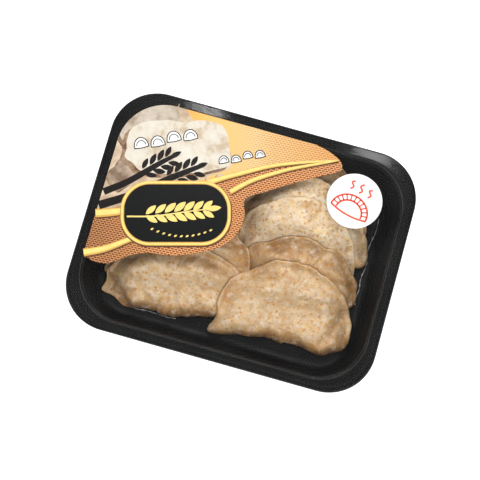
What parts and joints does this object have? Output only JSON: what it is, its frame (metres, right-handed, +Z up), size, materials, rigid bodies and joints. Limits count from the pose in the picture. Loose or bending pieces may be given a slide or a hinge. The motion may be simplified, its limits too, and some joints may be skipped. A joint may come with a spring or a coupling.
{
  "type": "sealed tray of pierogi",
  "caption": "Half-moon pierogi shingled in two columns in a black plastic tray, sealed with clear film that carries a printed label and a round sticker.",
  "frame": {"origin": "middle of the tray's underside, on the surface it stands on", "axes": "+X along the tray's long side, -Y towards the front edge of the tray, +Z up"},
  "size_m": [0.227, 0.178, 0.041],
  "materials": {
    "black_plastic": "black thermoformed polypropylene sheet, satin to glossy, with a faint haze on the flange",
    "clear_film": "clear heat-sealed lidding film, very thin and glossy",
    "printed_label": "printed film label with a woven sackcloth ground, cream and ochre fields and golden bands, softly glossy",
    "white_paper": "smooth white sticker with a plain orange-red drawing",
    "wholemeal_dough": "soft boiled wholemeal dough, beige with orange-brown bran flecks, slightly moist"
  },
  "bodies": {
    "root": {"tray": "black_plastic", "film": "clear_film", "label": "printed_label", "sticker": "white_paper", "pierogi_right_1": "wholemeal_dough", "pierogi_right_2": "wholemeal_dough", "pierogi_right_3": "wholemeal_dough", "pierogi_right_4": "wholemeal_dough", "pierogi_right_5": "wholemeal_dough", "pierogi_left_1": "wholemeal_dough", "pierogi_left_2": "wholemeal_dough", "pierogi_left_3": "wholemeal_dough", "pierogi_left_4": "wholemeal_dough"}
  },
  "joints": []
}
